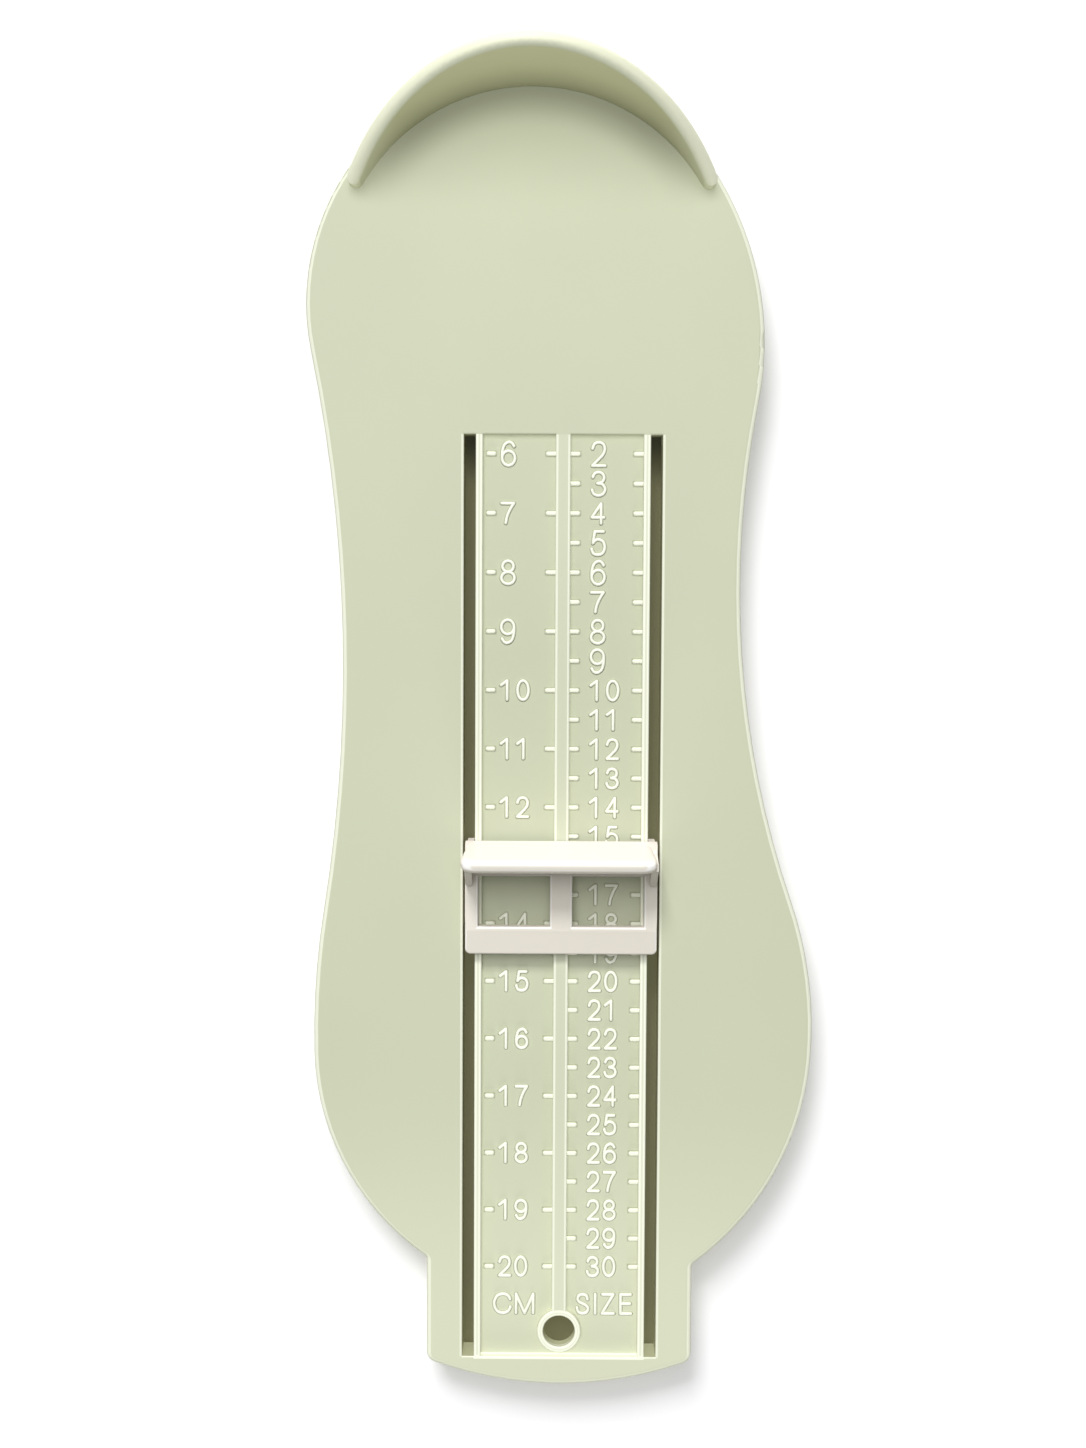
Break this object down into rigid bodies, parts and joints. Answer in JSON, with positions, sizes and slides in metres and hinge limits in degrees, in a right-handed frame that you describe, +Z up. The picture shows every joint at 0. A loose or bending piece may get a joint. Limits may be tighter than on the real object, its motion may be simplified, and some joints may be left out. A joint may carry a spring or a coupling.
{
  "type": "foot measuring device",
  "caption": "Moulded footplate with a raised heel cup, a recessed ruler with raised marks, a hanging hole and a toe stop that slides along the ruler.",
  "frame": {"origin": "middle of the footplate's length and width, on the plane it rests on", "axes": "+Y along the ruler from the toes towards the heel cup, +Z up from the table, +X across the foot, towards the size scale"},
  "size_m": [0.0865, 0.224, 0.0382],
  "materials": {
    "footplate_plastic": "satin moulded, pale sage green",
    "slider_plastic": "satin moulded, warm white"
  },
  "bodies": {
    "plate": {"footplate": "footplate_plastic"},
    "slider": {"toe_stop": "slider_plastic", "slide_keeper": "slider_plastic"}
  },
  "joints": [
    {"name": "toe_slide", "type": "slide", "parent": "plate", "child": "slider", "axis": [0, -1, 0], "range_m": [-0.0689, 0.0745]}
  ]
}
